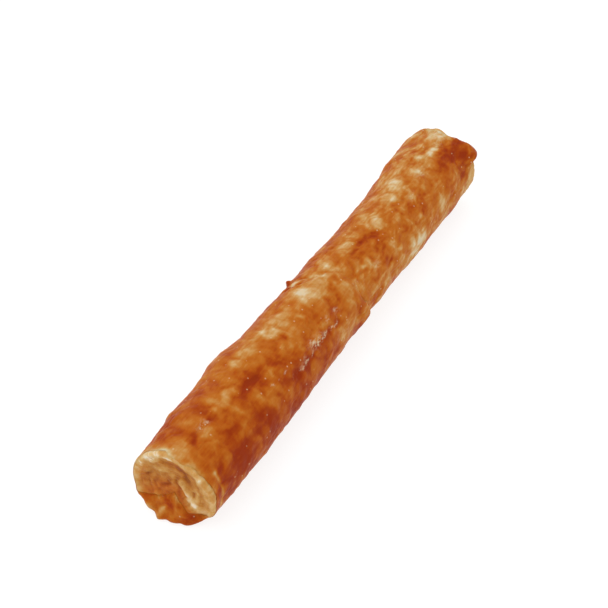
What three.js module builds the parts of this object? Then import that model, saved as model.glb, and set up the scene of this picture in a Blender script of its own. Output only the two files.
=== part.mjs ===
// A dried meat stick: a pale roll of hide with two thin strips of meat wrapped round it, one over each half.
// X runs along the stick from its front end (-X) to its rear end (+X) and Z is up. The stick lies on z = 0
// with the origin under its middle. Millimetres. Angles are in degrees round X: 0 is +Y, 90 is up.
import * as THREE from "three";

const { lerp, smoothstep, degToRad } = THREE.MathUtils;

// Driving dimensions
const HALF_LENGTH = 66; // hide roll, from its middle to either end
const AXIS_HEIGHT = 9.2; // axis above the surface it lies on, less than its radius: the underside is flat
const MEAT = 1.1; // thickness of a strip
const MEAT_EDGE = 0.45; // thickness that a strip thins down to along its torn edges
const EDGE_TAPER = 3; // how far from its edge a strip starts to thin
const GAP = 0.3; // air between two pieces
const RIM_ROUND = 0.9; // rounding of the roll's two rims
const DISH_DEPTH = 1.6; // hollow of an end face of the roll, at its middle
const SHEET_PITCH = 2.6; // radial distance from one turn of the rolled sheet to the next
const FOLD_RELIEF = 0.3; // height of the turns' edges on an end face

// The lap at mid-length, where the front strip's rear edge lies on the rear strip's front edge
const LAP_TUCK = 5; // how far the rear strip runs on under the front strip
const LAP_STEP = 0.35; // how far the front strip's edge stands proud there
const LAP_RAMP = 3.5; // length over which the rear strip comes up to the skin beyond the lap

// Radius of the skin at stations along the stick: [x, radius]
const SWELL = [
  [-66, 9.6],
  [-58, 9.85],
  [-42, 10.05],
  [-20, 9.9],
  [-6, 9.7],
  [8, 9.4],
  [26, 9.35],
  [46, 9.5],
  [60, 9.8],
  [66, 9.6],
];

// Sideways sway of the axis: [x, y]
const SWAY = [
  [-66, 0.1],
  [-40, 0.1],
  [0, -0.1],
  [36, -0.3],
  [66, 0.3],
];

// Lumps and dents of the skin: [x, angle, height, half-length, half-width]
const LUMPS = [
  [-52, 42, 0.75, 4, 5],
  [-33, 42, 0.85, 6, 6],
  [-44, 205, 0.4, 14, 8],
  [-26, 325, 0.3, 7, 6],
  [-38, 108, -0.25, 5, 4],
  [-8, 85, 0.25, 5, 5],
  [-7, 42, -0.5, 4, 5],
  [-2, 194, -0.35, 4, 6],
  [8, 330, -0.3, 7, 6],
  [9, 45, 0.35, 4, 5],
  [16, 108, -0.2, 6, 4],
  [20, 197, -0.3, 5, 6],
  [22, 50, -0.3, 12, 7],
  [37, 48, -0.4, 5, 6],
  [38, 340, 0.3, 6, 7],
  [52, 45, 0.55, 7, 8],
  [52, 197, 0.4, 4, 5],
];

// Edge of each strip at its own end of the stick: [angle, how far it runs past the end, along the surface].
// Under 0 it stops short of the end; over 0 it turns over the rim and lies on the end face.
const FRONT_EDGE = [
  [0, -0.8],
  [30, -1.2],
  [58, -2.6],
  [85, -3],
  [115, -2.6],
  [140, -1.4],
  [205, -1.7],
  [218, -1.2],
  [254, 3.4],
  [285, 4.4],
  [306, 3.4],
  [344, -0.6],
  [360, -0.8],
];
const REAR_EDGE = [
  [0, -0.9],
  [50, -0.7],
  [88, -1],
  [122, 2.2],
  [140, 2.2],
  [190, -5],
  [202, -6],
  [220, -5],
  [248, -1.2],
  [300, -1],
  [360, -0.9],
];
// The front strip's rear edge: [angle, x]
const LAP_EDGE = [
  [0, -2],
  [45, -6],
  [75, -3],
  [110, 4],
  [150, 3],
  [185, 5],
  [240, 1],
  [300, -1],
  [360, -2],
];

// Mesh density
const AROUND = 44;
const FLANK_ROWS = 17;
const ROLL_ROWS = 14;
const EDGE_ROWS = 5;
const RIM_ROWS = 3;
const FACE_RINGS = 8;

// Places along the surface, from the middle of the stick outwards
const FLANK_END = HALF_LENGTH - RIM_ROUND;
const RIM_END = FLANK_END + (RIM_ROUND * Math.PI) / 2;
const EDGE_BAND = 2; // stretch along a strip's edge that gets its own rows of the mesh

// The value at x of a smooth line through stations [x, value].
function through(stations, x) {
  const last = stations.length - 1;
  let i = 0;
  while (i < last - 1 && x > stations[i + 1][0]) i += 1;
  const [x0, a] = stations[i];
  const [x1, b] = stations[i + 1];
  return lerp(a, b, smoothstep(x, x0, x1));
}

// Distance round the skin, in mm, from one angle to another, the short way.
function arc(from, to) {
  const turn = degToRad(to - from);
  return AXIS_HEIGHT * Math.atan2(Math.sin(turn), Math.cos(turn));
}

// Distance from the axis to the skin, or to the surface that lies that far under it (over it, if negative).
// All of them are flat underneath, where the stick rests.
function skin(x, angle, under = 0) {
  let radius = through(SWELL, x) - under;
  for (const [at, turn, height, along, across] of LUMPS) {
    radius += height * Math.exp(-(((x - at) / along) ** 2) - (arc(turn, angle) / across) ** 2);
  }
  const down = -Math.sin(degToRad(angle));
  return down > 0 ? Math.min(radius, (AXIS_HEIGHT - Math.max(under, 0)) / down) : radius;
}

// The point at a distance from the axis.
function around(x, radius, angle) {
  const turn = degToRad(angle);
  return new THREE.Vector3(
    x,
    through(SWAY, x) + radius * Math.cos(turn),
    AXIS_HEIGHT + radius * Math.sin(turn),
  );
}

// Where the strip on that side of the stick (-1 front, 1 rear) ends, along the surface.
const stripEnd = (side, angle) => HALF_LENGTH + through(side < 0 ? FRONT_EDGE : REAR_EDGE, angle);

// Thickness of a strip, which tapers towards its end.
const meat = (side, s, angle) =>
  lerp(MEAT_EDGE, MEAT, smoothstep(stripEnd(side, angle) - s, 0, EDGE_TAPER));

// How much of the lap there is: 1 where both strips lie on each other.
function lapShare(x, angle) {
  const edge = through(LAP_EDGE, angle);
  const tucked = edge - LAP_TUCK;
  return smoothstep(x, tucked - LAP_RAMP, tucked) * (1 - smoothstep(x, edge, edge + LAP_RAMP));
}

// How far the skin lies above the hide: one strip and its gap, or under the lap two thin ones.
const cover = (side, s, angle) =>
  lerp(GAP + meat(side, s, angle), 2 * (GAP + MEAT_EDGE), lapShare(side * s, angle));

// Relief of an end face: a hollow, and the spiral edge of the rolled sheet. share = 0 at its middle, 1 at its rim.
function faceRelief(share, radius, angle) {
  const turns = radius / SHEET_PITCH - angle / 360;
  const fold = FOLD_RELIEF * Math.cos(2 * Math.PI * turns) * Math.sin(Math.PI * share);
  return fold - DISH_DEPTH * (1 - share * share);
}

const rollRadius = (side, angle) => skin(side * FLANK_END, angle, cover(side, FLANK_END, angle));
const faceRadius = (side, angle) => rollRadius(side, angle) - RIM_ROUND;

// A point at height lift above the hide. s runs along the surface: out along the flank from the middle of the
// stick, round the rim, and in over the end face.
function onRoll(side, s, lift, angle) {
  if (s <= FLANK_END) {
    const x = side * s;
    return around(x, skin(x, angle, cover(side, s, angle) - lift), angle);
  }
  const turn = Math.min((s - FLANK_END) / RIM_ROUND, Math.PI / 2);
  const face = faceRadius(side, angle);
  const inner = Math.max(face - Math.max(s - RIM_END, 0), 0);
  const radius = inner + (RIM_ROUND + lift) * Math.cos(turn);
  const relief = s > RIM_END ? faceRelief(inner / face, inner, angle) : 0;
  return around(side * (FLANK_END + (RIM_ROUND + lift) * Math.sin(turn) + relief), radius, angle);
}

// A closed ring of skin: rows of [place, layer] lathed round the axis, with every vertex then put in its place.
function lathed(rows, place) {
  const profile = rows.map(([along, layer]) => new THREE.Vector2(layer, along));
  const geometry = new THREE.LatheGeometry(profile, AROUND);
  const position = geometry.getAttribute("position");
  for (let k = 0; k < position.count; k += 1) {
    const [along, layer] = rows[k % rows.length];
    const step = Math.floor(k / rows.length) % AROUND;
    position.setXYZ(k, ...place(along, layer, (360 * step) / AROUND));
  }
  geometry.computeVertexNormals();
  return geometry;
}

const count = (last, from = 0) => Array.from({ length: last - from + 1 }, (_, i) => from + i);

// A strip from start(angle) to its end at the end of the stick. A row's place is a share of the way along the
// flank from 0 to 1, and then from 1 to 2 a share of the band along the strip's end.
function meatStrip(side, start, underside, top) {
  const places = [
    ...count(FLANK_ROWS).map((i) => i / FLANK_ROWS),
    ...count(EDGE_ROWS, 1).map((i) => 1 + i / EDGE_ROWS),
  ];
  const rows = [...places.map((place) => [place, 2]), ...places.toReversed().map((place) => [place, 1])];
  rows.push(rows[0]);
  if (side < 0) rows.reverse();
  return lathed(rows, (place, layer, angle) => {
    const end = stripEnd(side, angle);
    const band = Math.min(FLANK_END, end - EDGE_BAND);
    const s = place <= 1 ? lerp(start(angle), band, place) : lerp(band, end, place - 1);
    return onRoll(side, s, (layer === 2 ? top : underside)(side, s, angle), angle);
  });
}

// The roll. A row's place is 0 to 1 out along the flank, 1 to 2 round the rim and 2 to 3 in over the face.
// The flank's rows stand closer together towards the end, where the strips thin out.
function hideRoll() {
  const half = [
    ...count(ROLL_ROWS).map((i) => 1 - (1 - i / ROLL_ROWS) ** 1.5),
    ...count(RIM_ROWS, 1).map((i) => 1 + i / RIM_ROWS),
    ...count(FACE_RINGS, 1).map((i) => 2 + i / FACE_RINGS),
  ];
  const rows = [
    ...half.toReversed().map((place) => [place, -1]),
    ...half.slice(1).map((place) => [place, 1]),
  ];
  return lathed(rows, (place, side, angle) => {
    if (place <= 1) return onRoll(side, FLANK_END * place, 0, angle);
    if (place <= 2) return onRoll(side, lerp(FLANK_END, RIM_END, place - 1), 0, angle);
    return onRoll(side, RIM_END + (place - 2) * faceRadius(side, angle), 0, angle);
  });
}

const material = (color, roughness) => new THREE.MeshStandardMaterial({ color, roughness, metalness: 0 });

function piece(name, geometry, finish) {
  const mesh = new THREE.Mesh(geometry, finish);
  mesh.name = name;
  return mesh;
}

const frontStrip = meatStrip(
  -1,
  (angle) => -through(LAP_EDGE, angle),
  (side, s, angle) => lerp(GAP, 2 * GAP + MEAT_EDGE, lapShare(side * s, angle)),
  (side, s, angle) => cover(side, s, angle) + LAP_STEP * lapShare(side * s, angle),
);

// Height of the rear strip's top: thin under the lap, then up to the skin beyond it.
function rearTop(side, s, angle) {
  const edge = through(LAP_EDGE, angle) + GAP;
  return lerp(GAP + MEAT_EDGE, cover(side, s, angle), smoothstep(side * s, edge, edge + LAP_RAMP));
}
const rearStrip = meatStrip(
  1,
  (angle) => through(LAP_EDGE, angle) - LAP_TUCK,
  () => GAP,
  rearTop,
);

const stick = new THREE.Group();
stick.add(
  piece("hide_roll", hideRoll(), material(0xd9bd8c, 0.6)),
  piece("front_meat_strip", frontStrip, material(0xb8652c, 0.45)),
  piece("rear_meat_strip", rearStrip, material(0xc2773a, 0.45)),
);

// The origin goes under the middle of the whole stick, on the surface that it lies on.
const box = new THREE.Box3().setFromObject(stick);
const middle = box.getCenter(new THREE.Vector3());
stick.position.set(-middle.x, -middle.y, -box.min.z);

export default stick;
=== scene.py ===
"""A dried meat stick: a roll of pale hide, wrapped in two thin strips of glazed meat.

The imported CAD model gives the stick's size and its outer shape. This script models the same three pieces
again with their fine surface: the rolled sheet's edges at both ends, and the creases, lumps and thin places
of the meat. Lengths are in millimetres, and angles in degrees round X (0 is +Y, 90 is up), until a mesh is
made in metres. The front is the end at -X.
"""

import itertools
import math

import bpy
import numpy as np
from mathutils import Matrix, Vector
from mathutils.bvhtree import BVHTree


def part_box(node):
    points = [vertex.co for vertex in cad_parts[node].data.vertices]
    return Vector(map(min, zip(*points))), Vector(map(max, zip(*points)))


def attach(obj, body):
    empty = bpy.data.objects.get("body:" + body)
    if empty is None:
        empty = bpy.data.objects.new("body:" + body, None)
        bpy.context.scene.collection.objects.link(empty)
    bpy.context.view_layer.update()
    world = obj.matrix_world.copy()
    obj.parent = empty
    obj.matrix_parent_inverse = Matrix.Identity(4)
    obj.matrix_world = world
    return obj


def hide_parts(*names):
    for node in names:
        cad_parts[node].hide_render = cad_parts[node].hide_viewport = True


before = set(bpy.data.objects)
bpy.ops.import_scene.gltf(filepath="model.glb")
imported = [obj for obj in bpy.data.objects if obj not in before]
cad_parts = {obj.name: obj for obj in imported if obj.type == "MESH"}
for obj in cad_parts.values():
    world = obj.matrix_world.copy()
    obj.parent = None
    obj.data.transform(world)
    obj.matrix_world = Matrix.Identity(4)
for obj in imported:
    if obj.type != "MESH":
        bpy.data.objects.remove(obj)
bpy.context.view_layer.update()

MM = 0.001

# ---------------------------------------------------------------------------------------------------------
# Driving dimensions

roll_low, roll_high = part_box("hide_roll")
FRONT, REAR = -1, 1
HALF_LENGTH = (roll_high.x - roll_low.x) / 2 / MM
AXIS_Y = (roll_low.y + roll_high.y) / 2 / MM
AXIS_Z = (roll_low.z + roll_high.z) / 2 / MM
NOMINAL_RADIUS = 9.6  # for distances round the stick, and where the surface noise is sampled
RIM_ROUND = 0.6  # rounding of the roll's two rims
FLANK_END = HALF_LENGTH - RIM_ROUND
RIM_END = FLANK_END + RIM_ROUND * math.pi / 2
MEAT = 0.62  # thickness of a strip of meat
FEATHER = 2.6  # how far from its edge a strip starts to thin out
THIN = 0.05  # thickness of a strip at its edge
CLEAR = 0.02  # air between the meat and the hide
DISH_DEPTH = 1.0  # hollow of an end face, at its middle
WAVE_REACH = 5  # how far from the rim the wave of an end has faded out, on the flank
WAVE_INNER = 0.7  # and where it has on the end face, as a share of the radius
RAGGED = 0.5  # how far the edges of the strips waver
SHEET_PITCH = 1.9  # from one turn of the rolled sheet to the next
LAP_TUCK = 4  # how far the rear strip runs on under the front strip
LAP_SLOPE = 1.5  # length of the strips' slopes at the lap
THIN_UNDER = 0.22  # thickness of the rear strip under the lap
MEAT_LOW = 0.02  # the stick is flat where it rests: the lowest place of the meat's outside
UNDERSIDE_LOW = 0.04  # the same for the meat's underside
HIDE_LOW = 0.1  # and for the hide
PALE_END = 0.26  # how much a strip pales at its end
PALE_REACH = 1.6  # and how far from the end
EDGE_RELIEF = 0.15  # share of the relief that is left at a strip's end

# ---------------------------------------------------------------------------------------------------------
# The outlines of the strips. Angles and places were chosen one by one.

# Where each strip ends at its own end of the stick: [angle, how far past the end, along the surface]
STRIP_END = {
    FRONT: [
        [0, -0.1],
        [28, -0.2],
        [48, -0.8],
        [62, -1.3],
        [76, -1.0],
        [90, -0.2],
        [108, -0.1],
        [122, -0.7],
        [136, -1.2],
        [150, -1.4],
        [170, -1.3],
        [190, -0.9],
        [212, -0.4],
        [226, 0.4],
        [236, 2.6],
        [248, 5.0],
        [262, 6.4],
        [278, 7.0],
        [292, 6.6],
        [305, 5.0],
        [317, 3.2],
        [327, 1.4],
        [336, 0.1],
        [348, -0.1],
        [360, -0.1],
    ],
    REAR: [
        [0, -0.9],
        [50, -0.6],
        [84, -1.2],
        [104, -0.2],
        [120, 2.4],
        [140, 2.9],
        [154, 2.0],
        [161, -1.4],
        [172, -4.2],
        [200, -5.6],
        [222, -4.4],
        [248, -1.2],
        [300, -1.0],
        [360, -0.9],
    ],
}
# The front strip's rear edge: [angle, x]
LAP_EDGE = [
    [0, -2],
    [45, -5],
    [66, -6],
    [85, -3],
    [110, 4],
    [150, 3],
    [178, 5],
    [210, 3],
    [240, 1],
    [300, -1],
    [360, -2],
]
# How far the roll's end stands out, round its rim: [angle, distance]
END_WAVE = {
    FRONT: [
        [0, -0.1],
        [48, 0.1],
        [80, -0.1],
        [120, 0.2],
        [145, 0.3],
        [180, -0.1],
        [200, -0.5],
        [214, -1.7],
        [228, -2.3],
        [240, -1.4],
        [254, -0.2],
        [270, 0.3],
        [281, -0.2],
        [290, 0.35],
        [299, -0.25],
        [310, 0.2],
        [322, -0.1],
        [334, 0.25],
        [343, -0.1],
        [360, -0.1],
    ],
    REAR: [
        [0, 0.1],
        [40, 0.0],
        [56, 0.5],
        [70, 0.0],
        [84, 0.2],
        [102, -1.1],
        [116, -0.4],
        [146, 0.5],
        [162, -0.1],
        [185, -0.2],
        [260, -0.3],
        [310, 0.2],
        [360, 0.1],
    ],
}

# Lumps and dents: [x, angle, height, half-length, half-width]
LUMPS = [
    [-8, 86, 0.2, 2.2, 3.6],
    [-4, 57, 0.3, 1.2, 1.3],
    [-2.2, 36, 0.9, 0.7, 0.9],
    [-35, 33, 0.5, 6, 3.2],
    [-44, 33, 0.3, 3, 3],
    [-56, 96, -0.3, 0.6, 0.8],
    [-38, 108, -0.2, 4, 1.3],
    [-47, 122, 0.15, 2, 4],
    [-33, 117, 0.2, 1.5, 2.6],
    [-17, 141, 0.25, 2.2, 1.6],
    [2, 176, 0.35, 1.3, 3],
    [4.6, 186, 0.5, 1.3, 1.6],
    [8, 204, -0.5, 2.2, 3],
    [-2, 206, -0.3, 4, 3],
    [17, 105, -0.2, 4, 1.4],
    [32, 175, 0.2, 3.5, 3.5],
    [41, 86, 0.2, 2.4, 1.8],
    [46, 101, 0.22, 2.0, 1.6],
    [50, 35, 0.6, 2.6, 2],
    [62, 33, 0.35, 2.5, 3],
    [65.8, 154, 0.5, 1.3, 1.3],
    [64, 206, -0.4, 4, 3],
    [62, 90, 0.25, 1.6, 2.0],
    [56, 122, 0.15, 4, 3],
    [65, 147, 1.0, 2.4, 3.4],
    [62, 120, 0.25, 2, 2],
    [65.5, 56, 0.4, 1.6, 1.6],
    [-66, 246, 0.1, 1.6, 1.6],
    [-65.5, 334, 0.5, 1.6, 1.2],
    [-66, 285, 0.25, 1.6, 4],
    [-66.6, 288, 0.35, 1.2, 1.3],
]

# Lines on the surface, such as creases and the edges of layers:
# (height, change of thickness, half-width, path of [x, angle])
LINES = [
    (-0.2, 0.16, 0.8, [[-60, 103], [-57, 99], [-53, 101], [-49, 105]]),
    (-0.2, 0.14, 1.1, [[-46, 108], [-42, 110], [-38, 107], [-34, 109]]),
    (-0.15, 0.1, 0.8, [[-36, 110], [-37, 122], [-35, 136]]),
    (-0.35, 0.3, 0.6, [[-6.5, 52], [-6.5, 64], [-4.5, 72]]),
    (-0.3, 0.1, 0.5, [[-2.4, 60], [-1.8, 70], [-1, 80]]),
    (-0.25, 0.12, 0.8, [[-28, 151], [-20, 150], [-14, 148], [-8, 147]]),
    (-0.2, 0.14, 0.9, [[10, 104], [15, 103], [19, 106], [21, 116]]),
    (-0.15, 0.1, 0.8, [[4, 128], [7, 120], [11, 116]]),
    (-0.15, 0.1, 0.8, [[24, 120], [29, 112], [37, 108]]),
    (-0.3, 0.15, 0.6, [[58, 102], [60, 105], [62, 103]]),
    (-0.2, 0.1, 0.7, [[44, 78], [50, 84], [57, 88]]),
    (-0.2, 0.1, 0.7, [[61, 160], [55, 168], [48, 175]]),
    (-0.2, -0.1, 0.5, [[-2, 172], [6, 176], [16, 174], [26, 178]]),
    (0.15, 0.35, 1.0, [[-64.9, 136], [-64.7, 150], [-64.9, 165], [-65.1, 186]]),
    (-0.1, -0.45, 0.6, [[-62.3, 148], [-62.0, 160], [-62.1, 172], [-62.7, 192]]),
    (-0.2, 0.15, 0.8, [[-50, 262], [-36, 250], [-24, 254]]),
    (-0.2, 0.15, 0.8, [[-30, 20], [-16, 12], [-4, 18]]),
    (-0.2, 0.15, 0.8, [[12, 330], [26, 318], [38, 322]]),
    (-0.2, 0.15, 0.8, [[40, 230], [50, 222], [58, 228]]),
]

# Broad regions where the meat is thicker and darker (over 0) or thinner and paler (under 0), and one band
# of painted shade along the flank at 48°:
# [x, angle, amount, half-length, half-width]
REGIONS = [
    [-44, 166, 0.3, 25, 5.4],
    [-57, 176, 0.12, 8, 4],
    [-52, 68, 0.06, 14, 6],
    # painted shade: a long darker band along the flank at 48°, standing in for how little light falls there
    [4, 48, 0.13, 60, 4],
    [-8, 84, -0.2, 16, 5],
    [-25, 84, -0.16, 8, 4],
    [-46, 106, -0.1, 16, 3.5],
    [26, 66, -0.12, 22, 5],
    [38, 92, -0.14, 14, 5],
    [-26, 128, 0.12, 10, 5],
    [8, 142, -0.2, 8, 4],
    [36, 172, -0.12, 26, 4],
    [60, 132, 0.32, 8, 4.5],
    [60, 86, -0.08, 9, 5],
    [-30, 280, 0.12, 24, 10],
    [24, 260, -0.12, 20, 8],
    [-20, 0, -0.1, 20, 7],
    [30, 10, 0.1, 16, 8],
    [-55, 330, -0.15, 10, 6],
    [55, 320, -0.1, 10, 6],
]

# The same for small places: [x, angle, amount, half-length, half-width]
PATCHES = [
    [-64.5, 84, -0.36, 2.2, 7],
    [-65.5, 20, -0.3, 1.0, 12],
    [-22, 82, -0.2, 6, 2.4],
    [-8, 86, -0.28, 2.6, 4.2],
    [-4, 57, -0.55, 1.5, 1.5],
    [-0.8, 77, -0.35, 0.8, 2.6],
    [3, 97, -0.2, 2, 2.2],
    [13, 88, -0.15, 4, 2],
    [17, 87, -0.2, 1, 1.6],
    [24, 80, -0.2, 2, 2],
    [34, 93, -0.2, 2, 1.8],
    [41, 86, -0.3, 2.6, 1.8],
    [40, 60, -0.2, 6, 3],
    [46, 101, -0.35, 2.4, 1.6],
    [25, 107, -0.25, 1.2, 2.8],
    [37, 116, -0.25, 2, 1.8],
    [55, 101, -0.25, 5, 1.8],
    [61, 92, -0.15, 1.8, 2.2],
    [63, 74, -0.25, 2, 5],
    [53, 67, -0.2, 3, 2],
    [-56, 111, -0.2, 2.6, 2.2],
    [-47, 122, -0.22, 2, 4],
    [-33, 117, -0.22, 1.4, 2.6],
    [-13, 129, -0.22, 2.4, 1.8],
    [4, 138, -0.3, 2.6, 1.3],
    [13, 145, -0.35, 2, 1.1],
    [22, 149, -0.3, 0.8, 1.1],
    [-7, 169, -0.4, 4.4, 2.2],
    [10, 168, -0.35, 5, 1.4],
    [32, 176, -0.34, 5.0, 1.6],
    [29, 186, -0.3, 3.0, 1.2],
    [36, 158, -0.2, 1.4, 2.4],
    [47, 174, -0.2, 3.0, 1.2],
    [55, 166, -0.2, 3, 3],
    [63.5, 176, -0.5, 2, 4],
    [60, 80, -0.34, 4.4, 0.8],
    [59, 98, -0.34, 4.4, 0.7],
    [64.5, 72, -0.3, 2.4, 1.2],
    [65, 94, -0.25, 1.6, 2.0],
    [63, 108, -0.3, 3, 0.8],
    [-38, 108, 0.2, 5, 1.6],
    [-50, 76, 0.1, 6, 2],
    [-27, 129, 0.1, 6, 3.4],
    [-9, 126, 0.14, 2.4, 4],
    [-15, 158, 0.25, 5, 2.2],
    [2, 162, 0.2, 1.4, 5],
    [17, 105, 0.2, 4, 1.6],
    [20, 115, 0.2, 1.4, 2.8],
    [8, 66, 0.25, 1.2, 2.6],
    [56, 122, 0.2, 6, 3],
    [64, 143, 0.4, 3.4, 5],
    [65.8, 152, 0.55, 2.4, 2.6],
    [-2.5, 37, 0.6, 1.2, 1.2],
    [-25, 200, 0.14, 34, 3],
    [-30, 27, 0.12, 34, 3],
    [17, 156, 0.15, 3, 2.6],
    [-14, 54, 0.15, 6, 3],
    [-66, 243, 0.3, 2, 1.6],
    [-70, 284, 0.22, 5, 9],
    [-73, 280, 0.2, 2.5, 3],
    [-70.5, 302, 0.14, 1.8, 2],
    [-69, 278, 0.25, 1.6, 3],
    [-66.8, 290, -0.35, 0.8, 1.2],
]

# Dusty white, frayed places of the meat: [x, angle, amount, half-length, half-width]
FRAYED = [
    [-18.5, 143, 1.0, 1.5, 1.0],
    [-16.5, 141, 0.6, 1.5, 0.8],
    [-10.5, 134, 0.6, 1.1, 0.8],
    [-7.0, 136, 0.5, 0.9, 0.7],
    [-55.5, 96, 0.6, 1.2, 1.0],
    [-24, 146, 0.4, 1.5, 0.8],
    [46, 107, 0.5, 1.4, 1.0],
    [63, 88, 0.6, 2.6, 0.7],
    [61, 100, 0.5, 2.6, 0.6],
    [64, 73, 0.4, 1.6, 0.8],
    [38, 118, 0.4, 1.4, 0.8],
    [4, 138, 0.5, 1.2, 0.7],
    [13.5, 143, 0.6, 1.2, 0.8],
    [-4, 55, 0.4, 1, 1],
    [-8, 168, 0.3, 3, 1],
    [31, 178, 0.25, 4, 1.4],
]
# Frayed seams: (amount, half-width, path of [x, angle])
FRAYED_SEAMS = [
    (0.7, 0.25, [[-29, 149], [-25, 151], [-21, 149], [-17, 146], [-12, 145], [-8, 146]]),
    (0.6, 0.2, [[-36, 133], [-32, 136], [-28, 134]]),
    (0.5, 0.2, [[-57, 95], [-54, 100], [-53, 105]]),
]

# How deep the groove along the lap is: [0, angle, amount, 1, half-width]
LAP_GROOVES = [[0, 56, 1, 1, 2.6], [0, 178, 1, 1, 3], [0, 270, 0.6, 1, 9]]
# Where a strip is thick right up to its end, and does not pale: [0, angle, amount, 1, half-width]
HEAVY_ENDS = {FRONT: [[0, 284, 2.9, 1, 9]], REAR: [[0, 140, 1.2, 1, 5]]}

# Ridges and grooves of the crumpled sheet on an end face. Their change of tone is painted shade in the
# grooves,
# and on the ridges partly the sheet's pale edge and partly painted light:
# (height, change of tone, half-width, path of [radius, angle])
FACE_FOLDS = {
    FRONT: [
        (0.26, 0.2, 0.6, [[3.5, 130], [2.7, 142], [2.6, 166], [3.3, 182]]),
        (0.22, 0.18, 0.8, [[3.3, 182], [4.0, 200], [5.2, 206]]),
        # painted light: a broad paler place right of the ridge, where the dish and the ridge cast shade
        (0.3, 0.17, 1.6, [[6.0, 160], [6.2, 198]]),
        (0.15, 0.2, 1.1, [[5.2, 206], [6.4, 214], [7.6, 212]]),
        (-0.35, -0.16, 0.7, [[5.7, 119], [5.0, 132], [4.3, 148]]),
        (-0.2, -0.1, 0.6, [[3.3, 106], [1.5, 130], [1.3, 175], [2.3, 232]]),
        (-0.25, -0.1, 0.6, [[6.2, 20], [5.7, 32], [5.2, 46]]),
        (-0.3, -0.16, 0.6, [[2.6, 352], [2.0, 2], [1.7, 14]]),
        (-0.2, -0.14, 0.5, [[5.1, 172], [5.1, 182]]),
        (0.35, 0.26, 0.7, [[5.4, 46], [4.8, 52]]),
        (0.3, 0.24, 0.6, [[5.4, 316], [5.3, 323]]),
        (0.12, 0.25, 0.25, [[8.7, 78], [8.5, 86], [8.7, 92]]),
        (0.2, 0.08, 0.9, [[4.4, 70], [3.4, 84], [3.2, 100]]),
        (-0.15, -0.12, 1.0, [[7.2, 84], [7.2, 100], [6.6, 118]]),
        (-0.15, -0.05, 0.7, [[7.0, 150], [6.8, 168], [7.2, 186]]),
        (-0.2, -0.08, 0.6, [[3.9, 330], [4.4, 345], [4.2, 5]]),
    ],
    REAR: [
        (-0.35, -0.14, 0.55, [[7.2, 20], [6.6, 60], [6.4, 100], [6.2, 140]]),
        (0.35, 0.18, 0.6, [[5.4, 30], [4.8, 75], [4.6, 120]]),
        (-0.4, -0.14, 0.6, [[4.0, 330], [3.2, 20], [2.8, 80], [2.9, 130]]),
        (-0.35, -0.12, 0.6, [[6.6, 200], [5.6, 235], [5.0, 275], [5.2, 310]]),
        (0.35, 0.2, 0.7, [[3.6, 190], [3.0, 240], [2.4, 290]]),
        (-0.3, -0.12, 0.4, [[1.6, 160], [1.2, 250], [1.4, 330]]),
        (0.25, 0.12, 0.8, [[7.4, 240], [7.2, 290]]),
    ],
}
# Frayed, whitish lumps of hide near a rim, and a painted highlight on the rim: [radius, angle, amount,
# half-size]
FACE_FRAYS_AND_HIGHLIGHT = {
    FRONT: [
        [9.1, 49, 1.0, 0.7],
        [8.3, 34, 0.8, 0.8],
        [8.1, 55, 0.8, 0.9],
        [9.3, 62, 0.7, 0.8],
        [9.0, 70, 0.7, 0.7],
        [7.3, 66, 0.5, 0.7],
        [8.6, 85, 0.6, 0.5],
        # painted highlight on the rim's rounded edge, made as two pale frayed lumps at 137° and 150°
        [9.2, 137, 0.7, 0.7],
        [9.4, 150, 0.3, 0.8],
        [7.4, 28, 0.4, 0.7],
        [8.8, 20, 0.3, 1.0],
    ],
    REAR: [
        [8.8, 80, 0.9, 0.9],
        [8.2, 66, 0.7, 0.9],
        [8.6, 98, 0.6, 0.8],
        [8.4, 210, 0.7, 1.0],
        [8.6, 330, 0.5, 1.0],
    ],
}
# Where meat juice has stained an end face orange: [radius, angle, amount, half-size]
FACE_STAINS = {
    FRONT: [
        [2.8, 270, 1.2, 2.8],
        [6.0, 300, 0.9, 2.6],
        [6.2, 255, 0.9, 2.0],
        [5.2, 326, 0.9, 2.4],
        [3.4, 300, 0.9, 2.2],
        [7.4, 318, 0.6, 1.6],
        [2.4, 20, 0.4, 1.8],
        [6.6, 10, 0.4, 1.6],
        [3.4, 345, 0.4, 1.6],
        [1.6, 200, 0.4, 1.6],
        [6.6, 112, 0.25, 1.6],
        [4.4, 100, 0.2, 2.0],
    ],
    REAR: [
        [6.0, 130, 0.9, 2.4],
        [4.0, 150, 0.5, 2.2],
        [2.5, 330, 0.3, 2.0],
        [5.0, 250, 0.3, 2.0],
    ],
}

# ---------------------------------------------------------------------------------------------------------
# Numbers over a surface

NOISE_PERIOD = 256  # cells before the noise repeats
NOISE_GAIN = 1.7  # brings it to about -1 to 1
PEBBLE_PERIOD = 32  # cells before the pebbles repeat


def smooth(value, low, high):
    """0 at low, 1 at high, and a smooth rise between."""
    t = np.clip((value - low) / (high - low), 0, 1)
    return t * t * (3 - 2 * t)


def mix(a, b, share):
    return a + (b - a) * share


def through(stations, x):
    """The value at x of a smooth line through stations [x, value]."""
    places, values = np.array(stations, float).T
    i = np.clip(np.searchsorted(places, x) - 1, 0, len(places) - 2)
    return mix(values[i], values[i + 1], smooth(x, places[i], places[i + 1]))


def arc(start, angle):
    """Distance round the skin from one angle to another, the short way."""
    turn = np.radians(angle - start)
    return NOMINAL_RADIUS * np.arctan2(np.sin(turn), np.cos(turn))


def to_path(a, b, path):
    """Distance from the points (a, b) to a bent line through the points of a path."""
    nearest = np.full(np.broadcast(a, b).shape, np.inf)
    for (a0, b0), (a1, b1) in zip(path, path[1:]):
        da, db = a1 - a0, b1 - b0
        t = np.clip(((a - a0) * da + (b - b0) * db) / (da * da + db * db), 0, 1)
        nearest = np.minimum(nearest, np.hypot(a - a0 - t * da, b - b0 - t * db))
    return nearest


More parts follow.
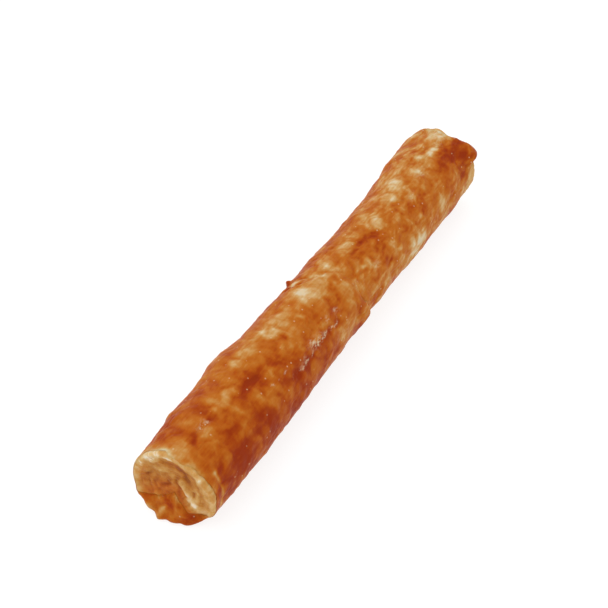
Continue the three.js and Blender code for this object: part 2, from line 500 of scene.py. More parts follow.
def near_line(x, angle, width, path):
    """1 on a line on the skin through a path of [x, angle], fading to 0 away from it."""
    corners = [(at, math.radians(turn) * NOMINAL_RADIUS) for at, turn in path]
    round_ = np.radians(np.mod(angle, 360)) * NOMINAL_RADIUS
    return np.exp(-((to_path(x, round_, corners) / width) ** 2))


def lines(x, angle, field):
    """The sum of the lines on the skin. field is 0 for their height and 1 for their change of thickness."""
    near_x, near_angle = drifted(x, angle, size=4, amount=0.8)
    return sum(line[field] * near_line(near_x, near_angle, *line[2:]) for line in LINES)


def spots(places, x, angle):
    """The sum of soft spots [x, angle, amount, half-length, half-width]."""
    total = np.zeros(np.broadcast(x, angle).shape)
    for at, turn, amount, along, across in places:
        total += amount * np.exp(-(((x - at) / along) ** 2) - (arc(turn, angle) / across) ** 2)
    return total


def gradient_noise(points, seed):
    """Perlin noise at points (..., 3), from about -1 to 1, with cells of size 1."""
    draw = np.random.default_rng(seed)
    table = draw.permutation(NOISE_PERIOD)
    slopes = draw.normal(size=(NOISE_PERIOD, 3))
    slopes /= np.linalg.norm(slopes, axis=1)[:, None]
    cell = np.floor(points).astype(int)
    local = points - cell
    fade = local**3 * (local * (local * 6 - 15) + 10)
    total = np.zeros(points.shape[:-1])
    for corner in itertools.product((0, 1), repeat=3):
        at = (cell + corner) % NOISE_PERIOD
        pick = 0
        for axis in range(3):
            pick = table[(pick + at[..., axis]) % NOISE_PERIOD]
        weight = np.prod(np.where(corner, fade, 1 - fade), axis=-1)
        total += weight * np.sum(slopes[pick] * (local - corner), axis=-1)
    return NOISE_GAIN * total


def noise(points, size, seed, octaves=1):
    """Noise with features of about that size in mm, or with one size per axis, and finer octaves on top."""
    total = 0
    for octave in range(octaves):
        scaled = points * 2**octave / np.asarray(size, float)
        total = total + gradient_noise(scaled, seed + octave) / 2**octave
    return total


def wrinkle(points, size, seed, width):
    """1 along thin wandering lines, 0 elsewhere."""
    return np.exp(-((noise(points, size, seed, octaves=2) / width) ** 2))


def pebbles(points, size, seed):
    """Rounded cells of about that size, in mm: 0 on the lines between them and up to 1 at their middles."""
    scaled = points / np.asarray(size, float)
    jitter = np.random.default_rng(seed).random((PEBBLE_PERIOD, PEBBLE_PERIOD, PEBBLE_PERIOD, 3))
    cell = np.floor(scaled).astype(int)
    first = np.full(scaled.shape[:-1], np.inf)
    second = first.copy()
    for step in itertools.product((-1, 0, 1), repeat=3):
        near = cell + step
        at = near % PEBBLE_PERIOD
        centre = near + jitter[at[..., 0], at[..., 1], at[..., 2]]
        gap = np.linalg.norm(scaled - centre, axis=-1)
        second = np.minimum(second, np.maximum(first, gap))
        first = np.minimum(first, gap)
    return np.clip(second - first, 0, 1)


def skin_points(x, angle):
    """Where the surface noise is sampled: on a plain cylinder, and past its ends on its flat faces."""
    x, angle = np.broadcast_arrays(x, angle)
    turn = np.radians(angle)
    past = np.maximum(np.abs(x) - HALF_LENGTH, 0)
    radius = np.maximum(NOMINAL_RADIUS - past, 0)
    level = np.clip(x, -HALF_LENGTH, HALF_LENGTH)
    return np.stack([level, radius * np.cos(turn), radius * np.sin(turn)], axis=-1)


def drift(x, angle, size, amount):
    """A push that differs from place to place, so that nothing on the surface is straight or round."""
    at = skin_points(x, angle)
    pushes = [noise(at, size, seed, octaves=2) for seed in (21, 22, 23)]
    return amount * np.stack(pushes, axis=-1)


def swirled(x, angle, size, amount):
    """Places to sample, pushed about."""
    return skin_points(x, angle) + drift(x, angle, size, amount)


def drifted(x, angle, size, amount):
    """The same, as x and angle."""
    push = drift(x, angle, size, amount)
    turn = np.radians(angle)
    across = push[..., 2] * np.cos(turn) - push[..., 1] * np.sin(turn)
    return x + push[..., 0], angle + np.degrees(across / NOMINAL_RADIUS)


# ---------------------------------------------------------------------------------------------------------
# The stick's outer shape, measured on the CAD model

STATION_STEP = 2.0
STATIONS = np.arange(-60.0, 60.1, STATION_STEP)
TURN_STEP = 5.0
TURNS = np.arange(0.0, 360.0, TURN_STEP)


def measured_skin():
    """Distance from the axis to the outside of the CAD stick, at every station and turn."""
    trees = []
    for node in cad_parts.values():
        corners = [v.co for v in node.data.vertices]
        trees.append(BVHTree.FromPolygons(corners, [p.vertices for p in node.data.polygons]))
    reach = 30 * MM  # well outside the stick
    radii = np.zeros((len(STATIONS), len(TURNS)))
    for row, x in enumerate(STATIONS):
        axis = Vector((x, AXIS_Y, AXIS_Z)) * MM
        for column, angle in enumerate(np.radians(TURNS)):
            outwards = Vector((0, math.cos(angle), math.sin(angle)))
            gaps = [tree.ray_cast(axis + outwards * reach, -outwards)[3] for tree in trees]
            radii[row, column] = (reach - min(gap for gap in gaps if gap is not None)) / MM
    return radii


SKIN = measured_skin()


def spline_shares(t):
    """Shares of four neighbours in a cubic spline, t of the way from the second to the third."""
    return (
        (1 - t) ** 3 / 6,
        (3 * t**3 - 6 * t**2 + 4) / 6,
        (-3 * t**3 + 3 * t**2 + 3 * t + 1) / 6,
        t**3 / 6,
    )


def skin(x, angle):
    """Distance from the axis to the stick's outside."""
    along = (np.clip(x, STATIONS[0], STATIONS[-1]) - STATIONS[0]) / STATION_STEP
    round_ = np.mod(angle, 360) / TURN_STEP
    row, column = np.floor(along).astype(int), np.floor(round_).astype(int)
    total = 0
    for i, row_share in enumerate(spline_shares(along - row)):
        at_row = np.clip(row + i - 1, 0, len(STATIONS) - 1)
        for j, column_share in enumerate(spline_shares(round_ - column)):
            total = total + row_share * column_share * SKIN[at_row, (column + j - 1) % len(TURNS)]
    return total


# ---------------------------------------------------------------------------------------------------------
# Where things lie. s runs along the surface: from the stick's middle out, round the rim and in over the
# end face. side is FRONT or REAR.


def strip_end(side, angle):
    """How far along the surface the strip on that side reaches, with its ragged edge."""
    ragged = RAGGED * noise(skin_points(HALF_LENGTH * side, angle), size=3, seed=11, octaves=3)
    return HALF_LENGTH + through(STRIP_END[side], np.mod(angle, 360)) + ragged


def lap_edge(angle):
    """x of the front strip's rear edge."""
    ragged = RAGGED * noise(skin_points(0.0, angle), size=4, seed=12, octaves=3)
    return through(LAP_EDGE, np.mod(angle, 360)) + ragged


def cover(side, s, angle):
    """How far the skin lies above the hide. Past a strip's end, the hide comes up to the skin."""
    left = strip_end(side, angle) - s
    return CLEAR + mix(THIN, MEAT, smooth(left, 0, FEATHER))


def covered(side, s, angle):
    """1 under the meat, 0 where the hide lies bare."""
    return smooth(strip_end(side, angle) - s, -1.0, 0.3)


def roll_radius(side, angle):
    """Radius of the roll where its rim starts to turn."""
    return skin(side * FLANK_END, angle) - cover(side, FLANK_END, angle)


def dish(share):
    """Hollow of an end face. share is 0 at its middle and 1 at its rim."""
    return -DISH_DEPTH * (1 - share**2)


def on_roll(side, s, lift, angle, relief=0.0):
    """Points at height lift above the hide. relief is the end face's own shape, on top of its dish."""
    s, lift, angle = np.broadcast_arrays(s, lift, angle)
    turn = np.clip((s - FLANK_END) / RIM_ROUND, 0, math.pi / 2)
    flank = np.minimum(s, FLANK_END)
    face = roll_radius(side, angle) - RIM_ROUND
    inner = np.maximum(face - np.maximum(s - RIM_END, 0), 0)
    share = inner / face
    on_flank = skin(side * flank, angle) - cover(side, flank, angle) + lift
    radius = np.where(s <= FLANK_END, on_flank, inner + (RIM_ROUND + lift) * np.cos(turn))
    wave = through(END_WAVE[side], np.mod(angle, 360))
    wave = wave * smooth(s, FLANK_END - WAVE_REACH, FLANK_END) * smooth(share, WAVE_INNER, 1)
    depth = np.where(s > RIM_END, dish(share) + relief, 0)
    out = flank + (RIM_ROUND + lift) * np.sin(turn) + wave + depth
    bearing = np.radians(angle)
    y = AXIS_Y + radius * np.cos(bearing)
    z = AXIS_Z + radius * np.sin(bearing)
    return np.stack([side * out, y, z], axis=-1)


def lap_groove(angle):
    """How deep the groove along the lap is: 1 at the sides of the stick, and next to nothing on top."""
    return np.clip(spots(LAP_GROOVES, 0, angle), 0, 1)


def lap_lift(past, angle):
    """The front strip's rear edge stands a little proud beside the groove, and dips into it."""
    proud = 0.2 * smooth(past, -2.5, -0.4)
    dip = 0.3 * smooth(past, -0.5, 0)
    return lap_groove(angle) * (proud - dip)


def pale_end(side, s, angle):
    """How much a strip pales towards its end."""
    heavy = np.minimum(spots(HEAVY_ENDS[side], 0, angle), 1)
    left = strip_end(side, angle) - s
    return PALE_END * (1 - smooth(left, 0, PALE_REACH)) * (1 - heavy)


# ---------------------------------------------------------------------------------------------------------
# The meat's surface

PEBBLE_MEAN = 0.3  # mean height of the meat's pebbles
MEAN_THICKNESS = 0.54  # how thick the meat looks on average


def meat_pebbles(at):
    """The meat's rounded cells, over 0 at their middles and under 0 between them."""
    return pebbles(at, size=(4.6, 3.6, 3.6), seed=26) - PEBBLE_MEAN


def meat_relief(x, angle):
    """Height of the meat's surface above its mean: noise, from broad to fine, and the named places."""
    at = swirled(x, angle, size=7, amount=1.1)
    broad = 0.24 * noise(at, size=7, seed=24)
    knobs = 0.17 * noise(at, size=3.4, seed=25, octaves=2)
    cells = 0.22 * meat_pebbles(at)
    fibres = 0.03 * noise(at, size=(4, 0.9, 0.9), seed=27, octaves=2)
    creases = 0.12 * wrinkle(at, size=(8, 4, 4), seed=28, width=0.1)
    creases = creases * smooth(noise(at, size=9, seed=29), -0.1, 0.5)
    named = spots(LUMPS, x, angle) + lines(x, angle, 0)
    return broad + knobs + cells + fibres - creases + named


def meat_thickness_and_shade(x, angle, relief):
    """How thick the meat looks: about 0 where the pale hide shows through, and about 1 at most."""
    at = swirled(x, angle, size=6, amount=1.8)
    blotches = 0.21 * noise(at, size=5, seed=34, octaves=2)
    mottle = 0.12 * noise(at, size=2.2, seed=35, octaves=2)
    rearwards = smooth(x, -20, 25)
    streaks = 0.12 * noise(at, size=(3.2, 1.1, 1.1), seed=36, octaves=2) * mix(0.3, 1.3, rearwards)
    cells = 0.28 * meat_pebbles(swirled(x, angle, size=7, amount=1.1)) * mix(1.2, 0.7, rearwards)
    patches = 0.8 * spots(PATCHES, *drifted(x, angle, size=5, amount=1.8))
    places = spots(REGIONS, x, angle) + patches + lines(x, angle, 1)
    # This also carries a band of painted shade along the flank at 48°, from REGIONS.
    return MEAN_THICKNESS + blotches + mottle + streaks - cells + places - 0.3 * relief


def meat_fraying(x, angle):
    """How frayed and dusty white the meat is: 0 where it is whole, and about 1 at most."""
    near_x, near_angle = drifted(x, angle, size=2.2, amount=0.7)
    seams = sum(amount * near_line(near_x, near_angle, width, path) for amount, width, path in FRAYED_SEAMS)
    broken = smooth(noise(skin_points(x, angle), size=1.6, seed=38, octaves=2), -0.2, 0.35)
    return spots(FRAYED, near_x, near_angle) * mix(0.35, 1, broken) + seams * broken


def tufts(x, angle):
    """Height of the small raised fibres of the frayed places."""
    fibres = np.abs(noise(skin_points(x, angle), size=0.9, seed=39, octaves=2))
    return 0.3 * meat_fraying(x, angle) * fibres


# ---------------------------------------------------------------------------------------------------------
# Meshes


def mesh_object(name, points, faces, smooth_faces=True):
    """An object in the scene, in metres, from points in millimetres."""
    mesh = bpy.data.meshes.new(name)
    mesh.from_pydata((points * MM).tolist(), [], faces)
    mesh.update()
    mesh.polygons.foreach_set("use_smooth", [smooth_faces] * len(mesh.polygons))
    piece = bpy.data.objects.new(name, mesh)
    bpy.context.scene.collection.objects.link(piece)
    return piece


def ring_faces(rows, columns, closed):
    """Quads between rows of points that run round the stick. closed joins the last row to the first."""
    faces = []
    for row in range(rows if closed else rows - 1):
        here, there = row * columns, (row + 1) % rows * columns
        for column in range(columns):
            beside = (column + 1) % columns
            faces.append((here + column, here + beside, there + beside, there + column))
    return faces


def keep_above(points, level):
    """Flattens the points where they would come below that level."""
    return np.concatenate([points[..., :2], np.maximum(points[..., 2:], level)], axis=-1)


def paint(piece, name, values):
    """Stores one number per point, which the piece's material reads."""
    layer = piece.data.attributes.new(name, "FLOAT", "POINT")
    layer.data.foreach_set("value", np.asarray(values, np.float32).ravel())


# How many points there are, in rows that run round the stick and columns that run along it
ROLL_COLUMNS = 360
ROLL_HIDDEN = np.linspace(0, 56, 9)  # places of the rows deep under the meat
ROLL_FLANK = np.linspace(56.6, FLANK_END, 32)  # and of those near an end
ROLL_RIM = np.linspace(FLANK_END, RIM_END, 7)[1:]  # and of those round the rim
ROLL_RINGS = 60  # rows on an end face
STRIP_COLUMNS = 256
STRIP_ROWS = 285
TUCK_ROWS = 20
FREE_ROWS = STRIP_ROWS - TUCK_ROWS
UNDERSIDE_ROWS = 60
EDGE_ROW = 0.03  # from an edge to the next row of points, which keeps the edge crisp


def rows_between(start, end, count):
    """Places of rows that run round the stick, close together at both edges."""
    shares = np.linspace(0, 1, count - 2)[:, None]
    rows = mix(start + EDGE_ROW, end - EDGE_ROW, shares)
    return np.concatenate([[start], rows, [end]])


def strip_rows(side, lap, end):
    """Places along the surface of the rows of points of a strip's outside, from the lap to the end."""
    if side == FRONT:
        return rows_between(-lap, end, STRIP_ROWS)
    tucked = rows_between(lap - LAP_TUCK, lap + EDGE_ROW, TUCK_ROWS)
    free = rows_between(lap + 2 * EDGE_ROW, end, FREE_ROWS)
    return np.concatenate([tucked, free])


def strip_bottom(side, past):
    """How far a strip's underside lies above the hide. past is how far it is behind the lap."""
    if side == REAR:
        return np.full(past.shape, CLEAR)
    return mix(CLEAR, 2 * CLEAR + THIN_UNDER, smooth(-past, LAP_TUCK + LAP_SLOPE, LAP_TUCK))


def strip_top(side, s, past, angle, relief):
    """How far a strip's outside lies above the hide."""
    left = strip_end(side, angle) - s
    lift = cover(side, s, angle) + relief * mix(EDGE_RELIEF, 1, smooth(left, 0, FEATHER))
    if side == FRONT:
        return np.maximum(lift + lap_lift(past, angle), strip_bottom(side, past) + THIN)
    rise = smooth(past, EDGE_ROW, mix(2 * EDGE_ROW, LAP_SLOPE, lap_groove(angle)))
    return np.maximum(mix(CLEAR + THIN_UNDER, lift, rise), CLEAR + THIN)


def meat_strip(name, side):
    """A strip round half of the hide: its outside, from the lap to its end, and back along its underside."""
    angle = np.arange(STRIP_COLUMNS) * 360 / STRIP_COLUMNS
    lap = lap_edge(angle)
    end = strip_end(side, angle)
    s = strip_rows(side, lap, end)
    x = side * s
    relief = meat_relief(x, angle) + tufts(x, angle)
    outside = on_roll(side, s, strip_top(side, s, x - lap, angle, relief), angle)
    under_s = rows_between(s[0], end, UNDERSIDE_ROWS)[::-1]
    underside = on_roll(side, under_s, strip_bottom(side, side * under_s - lap), angle)
    points = np.concatenate([keep_above(outside, MEAT_LOW), keep_above(underside, UNDERSIDE_LOW)])
    faces = ring_faces(len(points), STRIP_COLUMNS, True)
    if side == REAR:
        faces = [face[::-1] for face in faces]
    piece = mesh_object(name, points.reshape(-1, 3), faces)
    hidden = np.zeros(under_s.shape)
    # The thickness carries a band of painted shade along the flank at 48°.
    thickness = meat_thickness_and_shade(x, angle, relief) - pale_end(side, s, angle)
    paint(piece, "thickness", np.concatenate([thickness, hidden + 0.5]))
    paint(piece, "frayed", np.concatenate([meat_fraying(x, angle), hidden]))
    return piece


def flat_spots(places, y, z):
    """The sum of soft round spots [radius, angle, amount, half-size] on an end face."""
    total = np.zeros(y.shape)
    for radius, angle, amount, size in places:
        cy, cz = radius * math.cos(math.radians(angle)), radius * math.sin(math.radians(angle))
        total += amount * np.exp(-((y - cy) ** 2 + (z - cz) ** 2) / size**2)
    return total


FACE_NOISE_X = 70.0  # where an end face's noise is sampled
MEAN_TONE = 0.42  # how pale an end face is on average


def face_surface(side, y, z, share):
    """Shape and paint of an end face of the rolled sheet: its height, tone, orange stain and fraying.

    share is 0 at the middle of the face and 1 at its rim, and tone is 0 for dark brown and 1 for cream.
    Part of tone is painted shade, darker in grooves and low places, and part is painted light, paler on
    raised places; on the ridges the pale is partly the sheet's own edge.
    """
    flat = np.stack([np.full(y.shape, FACE_NOISE_X * side), y, z], axis=-1)
    sideways = [noise(flat, size=3, seed=seed, octaves=2) for seed in (41, 42)]
    bent = flat + 0.55 * np.stack([np.zeros(y.shape), *sideways], axis=-1)
    crumples = 0.2 * noise(bent, size=2.6, seed=43, octaves=3)
    shades = 0.11 * noise(bent, size=2.0, seed=47, octaves=2)
    folds = [crumples, shades]
    for *amounts, width, path in FACE_FOLDS[side]:
        bends = [(r * math.cos(math.radians(a)), r * math.sin(math.radians(a))) for r, a in path]
        near = np.exp(-((to_path(bent[..., 1], bent[..., 2], bends) / width) ** 2))
        folds = [total + amount * near for total, amount in zip(folds, amounts)]
    height, tone = folds

    # The seam between the turns of the rolled sheet is a spiral, broken up, which fades out at the middle.
    turns = np.hypot(y, z) / SHEET_PITCH - np.degrees(np.arctan2(z, y)) / 360
    turns = turns + 0.25 * noise(flat, size=5, seed=44)
    seam = np.exp(-((np.abs(turns - np.round(turns)) / 0.12) ** 2))
    seam *= smooth(noise(flat, size=3.4, seed=45), -0.35, 0.35) * smooth(share, 0.1, 0.3)

    frays_and_highlight = flat_spots(FACE_FRAYS_AND_HIGHLIGHT[side], bent[..., 1], bent[..., 2])
    stain = flat_spots(FACE_STAINS[side], bent[..., 1], bent[..., 2])
    fibres = np.abs(noise(bent, size=0.9, seed=46, octaves=2))
    pale_rim = smooth(share + 0.04 * noise(flat, size=2.4, seed=53, octaves=2), 0.74, 0.98)
    height = height - 0.12 * seam + frays_and_highlight * (0.15 + 0.4 * fibres)
    # Painted light and shade: 0.16 * height makes raised places paler and low places darker.
    tone = MEAN_TONE + tone - 0.06 * seam + 0.2 * pale_rim + 0.42 * frays_and_highlight * (0.3 + fibres) + 0.16 * height
    return height, tone, stain, frays_and_highlight


FACE_START = RIM_END + 1.2  # where the relief of an end face has its full height


def hide_half(side, angle):
    """Points of the roll from its middle to the middle of an end face, with their tone and orange stain."""
    face = roll_radius(side, angle) - RIM_ROUND
    rings = np.linspace(0, 1, ROLL_RINGS + 1)[1:, None] * face
    out = np.concatenate([ROLL_HIDDEN, ROLL_FLANK, ROLL_RIM])
    s = np.concatenate([np.repeat(out[:, None], ROLL_COLUMNS, axis=1), RIM_END + rings])
    inner = np.maximum(face - np.maximum(s - RIM_END, 0), 0)
    share = inner / face
    radius = inner + RIM_ROUND * np.cos(np.clip((s - FLANK_END) / RIM_ROUND, 0, math.pi / 2))
    bearing = np.radians(angle)
    y, z = radius * np.cos(bearing), radius * np.sin(bearing)
    height, tone, stain, frays_and_highlight = face_surface(side, y, z, share)

    bare = 1 - covered(side, s, angle)
    height = mix(height[-1].mean(), height, smooth(share, 0, 0.06))  # level at the very middle
    relief = height * bare * smooth(s, RIM_END - 0.2, FACE_START)
    at = skin_points(side * s, angle)
    fibres = np.abs(noise(at, size=0.8, seed=52, octaves=2))
    rough = 0.12 * noise(at, size=1.6, seed=51, octaves=3) + 0.3 * frays_and_highlight * fibres
    past_meat = s - strip_end(side, angle)
    flush = THIN * smooth(past_meat, 0.15, 0.45)
    lift = flush + rough * bare * (1 - smooth(s, RIM_END, FACE_START))
    juice = smooth(past_meat, 3.4, 0.2) * smooth(s, RIM_END, RIM_END + 2)
    stain = stain + juice
    return keep_above(on_roll(side, s, lift, angle, relief), HIDE_LOW), tone, stain


def hide_roll():
    """The whole roll: both halves, each closed at the middle of its end face."""
    angle = np.arange(ROLL_COLUMNS) * 360 / ROLL_COLUMNS
    halves = zip(hide_half(FRONT, angle), hide_half(REAR, angle))
    points, tone, stain = [np.concatenate([front[::-1], rear[1:]]) for front, rear in halves]
    rows = len(points) - 2
    poles = np.array([points[0].mean(axis=0), points[-1].mean(axis=0)])
    corners = np.concatenate([points[1:-1].reshape(-1, 3), poles])
    faces = ring_faces(rows, ROLL_COLUMNS, False)
    first, last = len(corners) - 2, len(corners) - 1
    tail = (rows - 1) * ROLL_COLUMNS
    for column in range(ROLL_COLUMNS):
        beside = (column + 1) % ROLL_COLUMNS
        faces.append((first, beside, column))
        faces.append((last, tail + column, tail + beside))
    piece = mesh_object("rolled_hide", corners, [face[::-1] for face in faces])
    for name, values in (("tone", tone), ("stain", stain)):
        ends = [values[0].mean(), values[-1].mean()]
        paint(piece, name, np.concatenate([values[1:-1].ravel(), ends]))
    return piece


# ---------------------------------------------------------------------------------------------------------
# Materials


def srgb(red, green, blue):
    """A colour given as 0 to 255 sRGB, in Blender's linear values."""
    parts = [value / 255 for value in (red, green, blue)]
    linear = [p / 12.92 if p <= 0.04045 else ((p + 0.055) / 1.055) ** 2.4 for p in parts]
    return (*linear, 1)


# The meat, from thin, with pale hide showing through, to thick
MEAT_COLORS = [
    (0.0, srgb(203, 184, 150)),
    (0.14, srgb(195, 158, 106)),
    (0.30, srgb(184, 128, 64)),
    (0.48, srgb(176, 101, 29)),
    (0.66, srgb(167, 82, 14)),
    (0.82, srgb(154, 63, 8)),
    (1.0, srgb(140, 46, 7)),
]
# The hide, from dark brown, which its creases and low places take as painted shade, to its pale rims,
# and the same where meat juice has stained it
HIDE_COLORS = [
    (0.0, srgb(108, 50, 14)),
    (0.25, srgb(150, 82, 20)),
    (0.42, srgb(172, 110, 38)),
    (0.6, srgb(188, 140, 74)),
    (0.8, srgb(204, 172, 120)),
    (1.0, srgb(216, 206, 182)),
]
STAINED_COLORS = [
    (0.0, srgb(112, 34, 6)),
    (0.3, srgb(160, 76, 12)),
    (0.45, srgb(174, 94, 22)),
    (0.6, srgb(182, 110, 36)),
    (0.8, srgb(190, 130, 60)),
    (1.0, srgb(196, 148, 88)),
]
DUST_COLOR = srgb(206, 184, 150)
WHITE = (1, 1, 1, 1)
FLOOR_GREY = 0.22
FLOOR_GLOW = 0.82  # light of the floor's own, which keeps the shadow on it faint


class Shader:
    """A material's node tree. A node's input is a value or another node's output."""

    def __init__(self, name):
        self.material = bpy.data.materials.new(name)
        self.material.use_nodes = True
        self.tree = self.material.node_tree
        self.tree.nodes.clear()
        self.place = self.output("ShaderNodeTexCoord", "Object")

    def node(self, kind, inputs=None, **settings):
        """A node of that kind, with its inputs by name or place."""
        node = self.tree.nodes.new(kind)
        for name, value in settings.items():
            setattr(node, name, value)
        for name, value in (inputs or {}).items():
            socket = node.inputs[name]
            if isinstance(value, bpy.types.NodeSocket):
                self.tree.links.new(value, socket)
            else:
                socket.default_value = value
        return node

    def output(self, kind, output, inputs=None, **settings):
        return self.node(kind, inputs, **settings).outputs[output]

    def painted(self, name):
        """The numbers that were painted on the piece under that name."""
        return self.output("ShaderNodeAttribute", "Fac", attribute_name=name)

    def math(self, operation, a, b=0.0, clamp=False):
        inputs = {0: a, 1: b}
        return self.output("ShaderNodeMath", "Value", inputs, operation=operation, use_clamp=clamp)

    def total(self, *parts):
        """The sum of some outputs, each given with its weight."""
        scaled = [self.math("MULTIPLY", value, weight) for value, weight in parts]
        total = scaled[0]
        for value in scaled[1:]:
            total = self.math("ADD", total, value)
        return total

    def noise(self, size, detail=2, stretch=(1, 1, 1)):
        """Noise from 0 to 1, with features of that size in mm, stretched along each axis by that much."""
        squeeze = [1 / part for part in stretch]
        place = self.output("ShaderNodeMapping", "Vector", {"Vector": self.place, "Scale": squeeze})
        inputs = {"Vector": place, "Scale": 1 / (size * MM), "Detail": detail, "Roughness": 0.55}
        return self.output("ShaderNodeTexNoise", "Fac", inputs)

    def ramp(self, value, stops):
        """A colour for each value, from stops (value, colour)."""
        node = self.node("ShaderNodeValToRGB", {"Fac": value})
        elements = node.color_ramp.elements
        elements[0].position, elements[0].color = stops[0]
        elements[1].position, elements[1].color = stops[-1]
        for position, color in stops[1:-1]:
            elements.new(position).color = color
        return node.outputs["Color"]

    def spread(self, value, low, high, to_low=0.0, to_high=1.0):
        """A value that runs from low to high, made to run from to_low to to_high."""
        inputs = {"Value": value, "From Min": low, "From Max": high, "To Min": to_low, "To Max": to_high}
        return self.output("ShaderNodeMapRange", "Result", inputs)

    def sway(self, value, noise, amount, clamp=False):
        """A value with noise on top, which changes it by up to that amount either way."""
        return self.math("ADD", value, self.spread(noise, 0.25, 0.75, -amount, amount), clamp)

    def bump(self, height, strength, distance):
        inputs = {"Height": height, "Strength": strength, "Distance": distance * MM}
        return self.output("ShaderNodeBump", "Normal", inputs)

    def blend(self, share, a, b):
        """Colour a where share is 0, and b where it is 1. The node's colour sockets go by their places."""
        inputs = {0: share, 6: a, 7: b}
        return self.output("ShaderNodeMix", 2, inputs, data_type="RGBA")

    def finish(self, surface):
        """Closes the material with a surface, given as the values of its sockets."""
        shader = self.output("ShaderNodeBsdfPrincipled", "BSDF", surface)
        self.node("ShaderNodeOutputMaterial", {"Surface": shader})
        return self.material


def meat_material():
    shader = Shader("glazed_meat")
    mottle = shader.noise(1.1, detail=3)
    fibres = shader.noise(0.45, stretch=(7, 1, 1))
    grain = shader.noise(0.22)
    # The painted thickness includes a band of painted shade along the flank at 48°.
    thickness = shader.sway(shader.painted("thickness"), mottle, 0.07)
    thickness = shader.sway(thickness, fibres, 0.06)
    color = shader.ramp(thickness, MEAT_COLORS)
    # Pale specks: a small dot in the middle of one in five cells
    cells = shader.node("ShaderNodeTexVoronoi", {"Vector": shader.place, "Scale": 1 / (1.3 * MM)})
    chance = shader.output("ShaderNodeSeparateColor", "Red", {"Color": cells.outputs["Color"]})
    dot = shader.spread(cells.outputs["Distance"], 0.2, 0.08)
    specks = shader.math("MULTIPLY", dot, shader.math("GREATER_THAN", chance, 0.8))
    threads = shader.spread(shader.noise(0.4, stretch=(2, 1, 1)), 0.42, 0.56)
    fray = shader.math("MULTIPLY", shader.painted("frayed"), threads)
    dusty = shader.math("ADD", shader.math("MULTIPLY", specks, 0.55), fray, clamp=True)
    color = shader.blend(dusty, color, DUST_COLOR)
    roughness = shader.spread(mottle, 0.3, 0.7, to_low=0.36, to_high=0.52)
    roughness = shader.math("ADD", roughness, shader.math("MULTIPLY", dusty, 0.25))
    height = shader.total((fibres, 0.5), (grain, 0.3), (mottle, 0.6), (dusty, 0.4))
    return shader.finish(
        {
            "Base Color": color,
            "Roughness": roughness,
            "Normal": shader.bump(height, strength=0.55, distance=0.2),
            "Subsurface Weight": 0.25,
            "Subsurface Radius": (1.0, 0.45, 0.2),
            "Subsurface Scale": 1.2 * MM,
            "Specular IOR Level": 0.04,
        }
    )


def hide_material():
    shader = Shader("dried_hide")
    mottle = shader.noise(1.4, detail=3)
    grain = shader.noise(0.3, detail=3)
    layers = shader.noise(0.35, stretch=(6, 1, 1))
    tone = shader.sway(shader.painted("tone"), mottle, 0.13)
    tone = shader.sway(tone, layers, 0.05)
    stain = shader.sway(shader.painted("stain"), mottle, 0.15, clamp=True)
    color = shader.blend(stain, shader.ramp(tone, HIDE_COLORS), shader.ramp(tone, STAINED_COLORS))
    height = shader.total((mottle, 0.6), (grain, 0.5), (layers, 0.3))
    return shader.finish(
        {
            "Base Color": color,
            "Roughness": shader.spread(mottle, 0.3, 0.7, to_low=0.42, to_high=0.62),
            "Normal": shader.bump(height, strength=0.6, distance=0.25),
            "Subsurface Weight": 0.35,
            "Subsurface Radius": (1.0, 0.6, 0.35),
            "Subsurface Scale": 1.5 * MM,
            "Specular IOR Level": 0.12,
        }
    )


def floor_material():
    shader = Shader("white_board")
    return shader.finish(
        {
            "Base Color": (FLOOR_GREY, FLOOR_GREY, FLOOR_GREY, 1),
            "Roughness": 0.8,
            "Specular IOR Level": 0.1,
            "Emission Color": WHITE,
            "Emission Strength": FLOOR_GLOW,
        }
    )


# ---------------------------------------------------------------------------------------------------------
# Camera, floor and light

CAMERA_AZIMUTH = -61.9  # degrees round Z, where 0 is the view from -Y
CAMERA_ELEVATION = 40.0  # degrees above the floor
CAMERA_DISTANCE = 378.3
CAMERA_AIM = (-8.9, 0.0, 16.8)
CAMERA_LENS = 99.9
CAMERA_NEAREST = 10.0
ROOM_LIGHT = 1.0
FLOOR_HALF = 900.0  # half of the floor's width


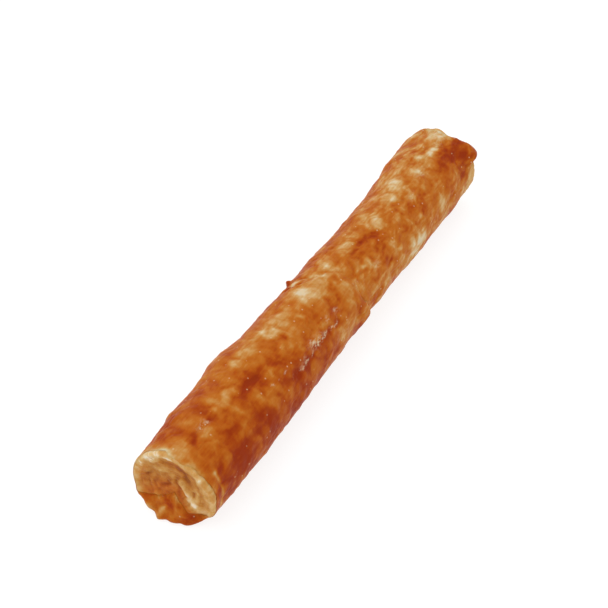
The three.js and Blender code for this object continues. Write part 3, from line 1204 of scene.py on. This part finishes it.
def place_camera():
    azimuth, elevation = math.radians(CAMERA_AZIMUTH), math.radians(CAMERA_ELEVATION)
    right = Vector((math.cos(azimuth), math.sin(azimuth), 0))
    level = Vector((math.sin(azimuth), -math.cos(azimuth), 0))
    back = level * math.cos(elevation) + Vector((0, 0, math.sin(elevation)))
    up = back.cross(right)
    data = bpy.data.cameras.new("camera")
    data.lens = CAMERA_LENS
    data.clip_start = CAMERA_NEAREST * MM
    camera = bpy.data.objects.new("camera", data)
    bpy.context.scene.collection.objects.link(camera)
    turn = Matrix((right, up, back)).transposed().to_4x4()
    camera.matrix_world = Matrix.Translation((Vector(CAMERA_AIM) + back * CAMERA_DISTANCE) * MM) @ turn
    bpy.context.scene.camera = camera


def softbox(name, direction, distance, size, power):
    """A square soft light that shines from that direction, with its distance and size in metres."""
    data = bpy.data.lights.new(name, "AREA")
    data.shape = "SQUARE"
    data.size = size
    data.energy = power
    light = bpy.data.objects.new(name, data)
    away = Vector(direction).normalized()
    light.location = away * distance
    light.rotation_euler = away.to_track_quat("Z", "Y").to_euler()
    bpy.context.scene.collection.objects.link(light)


def light_scene():
    world = bpy.data.worlds.new("white_room")
    world.use_nodes = True
    background = world.node_tree.nodes["Background"]
    background.inputs["Color"].default_value = WHITE
    background.inputs["Strength"].default_value = ROOM_LIGHT
    bpy.context.scene.world = world
    softbox("key", direction=(-0.3, 0.25, 1.0), distance=1.3, size=1.2, power=5.0)
    bpy.context.scene.view_settings.view_transform = "Standard"


def lay_floor():
    corners = FLOOR_HALF * np.array([[-1, -1, 0], [1, -1, 0], [1, 1, 0], [-1, 1, 0]])
    floor = mesh_object("floor", corners, [(0, 1, 2, 3)], smooth_faces=False)
    floor.data.materials.append(floor_material())


# ---------------------------------------------------------------------------------------------------------
# Build

place_camera()
light_scene()
lay_floor()

meat = meat_material()
PIECES = (
    (hide_roll(), "hide_roll", "rolled_hide", hide_material()),
    (meat_strip("front_meat", FRONT), "front_meat_strip", "dried_meat", meat),
    (meat_strip("rear_meat", REAR), "rear_meat_strip", "dried_meat", meat),
)
for piece, node, slot, material in PIECES:
    piece.data.materials.append(material)
    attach(piece, "root")
    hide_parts(node)
